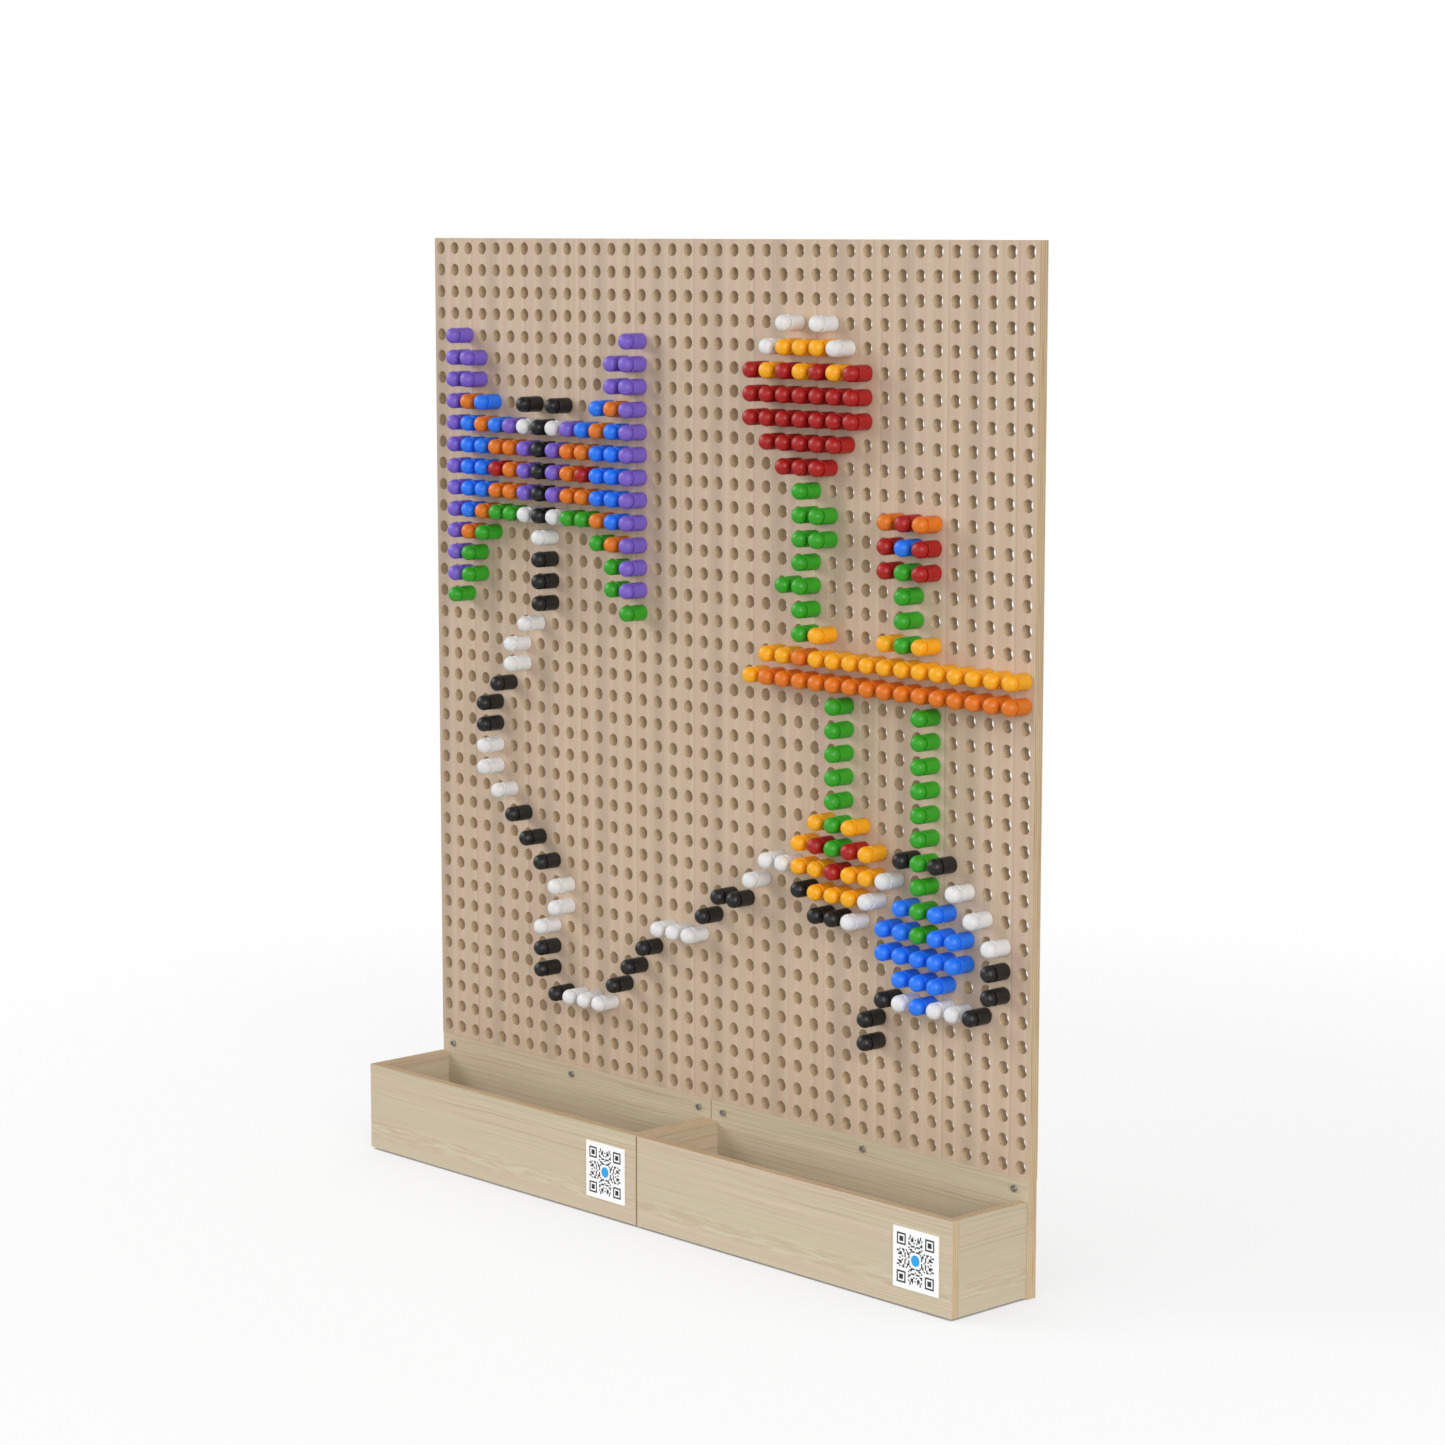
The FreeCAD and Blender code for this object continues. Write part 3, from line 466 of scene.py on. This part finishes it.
# ---------------------------------------------------------------- plaque print

MOSAIC_CELLS = 14  # squares on each side of the plaque's middle line
MOSAIC_PITCH = 0.00227
MOSAIC_SQUARE = 0.0022
CORNER_CELLS = 7  # the frame in each corner of the mosaic
CLEAR_RADIUS = 0.0115  # no squares this near the disc's centre
DISC_RADIUS = 0.0075
INK_THICKNESS = 0.00006
DISC_STEPS = 48


def square_is_dark(column, row):
    """An ornament that is the same in all four quarters: framed corners and a woven field."""
    i, j = sorted((MOSAIC_CELLS - abs(column), MOSAIC_CELLS - abs(row)))
    if j < CORNER_CELLS:
        ring = max(abs(i - CORNER_CELLS // 2), abs(j - CORNER_CELLS // 2))
        return ring in (0, 1, 3)
    if j <= CORNER_CELLS + 1:
        return False
    return (i + 2 * j) % 5 == 0 or (i * j) % 7 in (1, 3)


def add_slab(bm, corners, back, front):
    """Adds a closed flat prism between the planes y = back and y = front to bm."""
    rear = [bm.verts.new((x, back, z)) for x, z in corners]
    face = [bm.verts.new((x, front, z)) for x, z in corners]
    count = len(corners)
    bm.faces.new(face)
    bm.faces.new(rear[::-1])
    for i in range(count):
        bm.faces.new((rear[i], rear[(i + 1) % count], face[(i + 1) % count], face[i]))


def finish_piece(name, bm, material):
    """Turns bm into an object that rides on the wall unit."""
    bmesh.ops.recalc_face_normals(bm, faces=bm.faces)
    mesh = bpy.data.meshes.new(name)
    bm.to_mesh(mesh)
    bm.free()
    mesh.materials.append(material)
    piece = bpy.data.objects.new(name, mesh)
    bpy.context.scene.collection.objects.link(piece)
    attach(piece, ROOT_BODY)
    return piece


def print_plaque(side, mosaic_ink, disc_ink):
    """A symmetric mosaic of small squares round a plain disc, printed on a plaque."""
    low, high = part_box(f"{side}_plaque")
    centre_x, centre_z = (low.x + high.x) / 2, (low.z + high.z) / 2
    back = low.y
    front = low.y - INK_THICKNESS
    half = MOSAIC_SQUARE / 2
    mosaic = bmesh.new()
    for column in range(-MOSAIC_CELLS, MOSAIC_CELLS + 1):
        for row in range(-MOSAIC_CELLS, MOSAIC_CELLS + 1):
            x, z = column * MOSAIC_PITCH, row * MOSAIC_PITCH
            if math.hypot(x, z) < CLEAR_RADIUS or not square_is_dark(column, row):
                continue
            corners = [(centre_x + x + u * half, centre_z + z + v * half)
                       for u, v in ((-1, -1), (1, -1), (1, 1), (-1, 1))]
            add_slab(mosaic, corners, back, front)
    finish_piece(f"{side}_plaque_mosaic", mosaic, mosaic_ink)
    disc = bmesh.new()
    turns = [2 * math.pi * step / DISC_STEPS for step in range(DISC_STEPS)]
    rim = [(centre_x + DISC_RADIUS * math.cos(a), centre_z + DISC_RADIUS * math.sin(a)) for a in turns]
    add_slab(disc, rim, back, front)
    finish_piece(f"{side}_plaque_disc", disc, disc_ink)


mosaic_ink = printing_ink("mosaic_ink", "#1C1E26")
disc_ink = printing_ink("disc_ink", "#2BA6EA")
for side in ("left", "right"):
    print_plaque(side, mosaic_ink, disc_ink)


# ---------------------------------------------------------------- stage, light and camera

FLOOR_RADIUS = 30.0
FLOOR_FADE = (0.9, 2.6)  # the floor turns plain white between these distances from the wall
FLOOR_STEPS = 64
FLOOR_COLOUR = "#7C7C7C"
FLOOR_OWN_LIGHT = 0.82  # painted light: the floor's own glow, which softens the shadows the camera sees
CONTACT_REACH = 0.08  # painted shade: the glow fades where the floor is almost covered within this distance
CONTACT_OPENNESS = (0.02, 0.45)
CONTACT_LIGHT = 0.12  # part of the own light that is left under the trays
SHADE_REACH = 0.50  # and, a little, where anything stands within this distance
SHADE_OPENNESS = (0.35, 1.0)
SHADE_LIGHT = 0.86
FLOOR_BOUNCE = {"near": 0.62, "far": 0.12}  # light sent up to the wall, weaker than the white seen
BOUNCE_FADE = (0.5, 2.2)


def build_floor():
    """A white disc with a painted glow that melts into the background far from it; near the wall it takes
    real soft shadows, and painted shade where the glow fades under and beside the trays.
    """
    bm = bmesh.new()
    bmesh.ops.create_circle(bm, cap_ends=True, segments=FLOOR_STEPS, radius=FLOOR_RADIUS)
    mesh = bpy.data.meshes.new("floor")
    bm.to_mesh(mesh)
    bm.free()
    floor = bpy.data.objects.new("floor", mesh)
    bpy.context.scene.collection.objects.link(floor)
    g = Graph("floor_white")
    distance = g.add("ShaderNodeVectorMath", {0: g.position}, output=1, operation="LENGTH")
    far = g.step(distance, *FLOOR_FADE)
    openness = g.add("ShaderNodeAmbientOcclusion", {"Distance": CONTACT_REACH}, output="AO", samples=8)
    near_sky = g.add("ShaderNodeAmbientOcclusion", {"Distance": SHADE_REACH}, output="AO", samples=8)
    # painted shade: the floor's glow is dimmed where ambient occlusion finds the trays and the wall close
    # by
    painted_contact_shade = g.step(openness, *CONTACT_OPENNESS, CONTACT_LIGHT * FLOOR_OWN_LIGHT, FLOOR_OWN_LIGHT)
    painted_glow = g.math("MULTIPLY", painted_contact_shade, g.step(near_sky, *SHADE_OPENNESS, SHADE_LIGHT, 1.0))
    g.surface(Base_Color=srgb(FLOOR_COLOUR), Roughness=0.9, Specular_IOR_Level=0.0,
              Emission_Color=(1, 1, 1, 1), Emission_Strength=painted_glow)
    white = g.add("ShaderNodeEmission", {"Color": (1, 1, 1, 1), "Strength": 1.0})
    seen = g.add("ShaderNodeMixShader", {0: far, 1: g.shader.outputs[0], 2: white})
    # painted light: for all rays but the camera's, the floor glows up at the wall in place of its bounce
    sent_up = g.step(distance, *BOUNCE_FADE, FLOOR_BOUNCE["near"], FLOOR_BOUNCE["far"])
    bounce = g.add("ShaderNodeEmission", {"Color": (1, 1, 1, 1), "Strength": sent_up})
    by_camera = g.add("ShaderNodeLightPath", {}, output="Is Camera Ray")
    blend = g.add("ShaderNodeMixShader", {0: by_camera, 1: bounce, 2: seen})
    g.plug(g.tree.nodes["Material Output"].inputs["Surface"], blend)
    mesh.materials.append(g.material)


def build_world(horizon, zenith):
    """White studio air: bright round the horizon, softer overhead, pure white where the camera sees it."""
    world = bpy.data.worlds.new("studio")
    bpy.context.scene.world = world
    world.use_nodes = True
    tree = world.node_tree
    background = tree.nodes["Background"]
    background.inputs["Color"].default_value = (1, 1, 1, 1)
    coordinates = tree.nodes.new("ShaderNodeTexCoord")
    parts = tree.nodes.new("ShaderNodeSeparateXYZ")
    tree.links.new(coordinates.outputs["Generated"], parts.inputs[0])
    height = tree.nodes.new("ShaderNodeMapRange")
    height.inputs["To Min"].default_value = horizon
    height.inputs["To Max"].default_value = zenith
    tree.links.new(parts.outputs[2], height.inputs["Value"])
    seen = tree.nodes.new("ShaderNodeLightPath")
    level = tree.nodes.new("ShaderNodeMix")
    level.inputs[3].default_value = 1.0
    tree.links.new(seen.outputs["Is Camera Ray"], level.inputs[0])
    tree.links.new(height.outputs[0], level.inputs[2])
    tree.links.new(level.outputs[0], background.inputs["Strength"])


def add_softbox(name, place, target, size, power):
    """A square area light that looks at target."""
    light = bpy.data.lights.new(name, "AREA")
    light.size = size
    light.energy = power
    lamp = bpy.data.objects.new(name, light)
    lamp.location = place
    lamp.rotation_euler = (Vector(target) - Vector(place)).to_track_quat("-Z", "Y").to_euler()
    bpy.context.scene.collection.objects.link(lamp)


WORLD_HORIZON, WORLD_ZENITH = 0.80, 0.08  # brightness of the studio air
SOFTBOXES = {  # name: (place, width, watts)
    "key_light": ((-4.0, -2.6, 3.0), 2.6, 124.0),
    "side_fill": ((4.6, -2.2, 2.1), 2.4, 132.0),
    "front_fill": ((0.6, -5.2, 0.7), 2.0, 42.0),
}

CAMERA_PLACE = (3.640, -3.4065, 1.375)
CAMERA_TURN = math.radians(46.859)
CAMERA_DIP = math.radians(7.804)
CAMERA_LENS = 90.2
CAMERA_SENSOR = 36.0
CAMERA_SHIFT = (-0.0004, 0.0003)  # in parts of the picture's width


def add_camera():
    camera = bpy.data.cameras.new("camera")
    camera.lens = CAMERA_LENS
    camera.sensor_width = CAMERA_SENSOR
    camera.shift_x, camera.shift_y = CAMERA_SHIFT
    eye = bpy.data.objects.new("camera", camera)
    eye.location = CAMERA_PLACE
    eye.rotation_euler = (math.pi / 2 - CAMERA_DIP, 0.0, CAMERA_TURN)
    bpy.context.scene.collection.objects.link(eye)
    bpy.context.scene.camera = eye


build_floor()
build_world(WORLD_HORIZON, WORLD_ZENITH)
wall_middle = (cad_box[0] + cad_box[1]) / 2
for name, (place, width, power) in SOFTBOXES.items():
    add_softbox(name, place, wall_middle, width, power)
add_camera()
bpy.context.scene.view_settings.view_transform = "Standard"
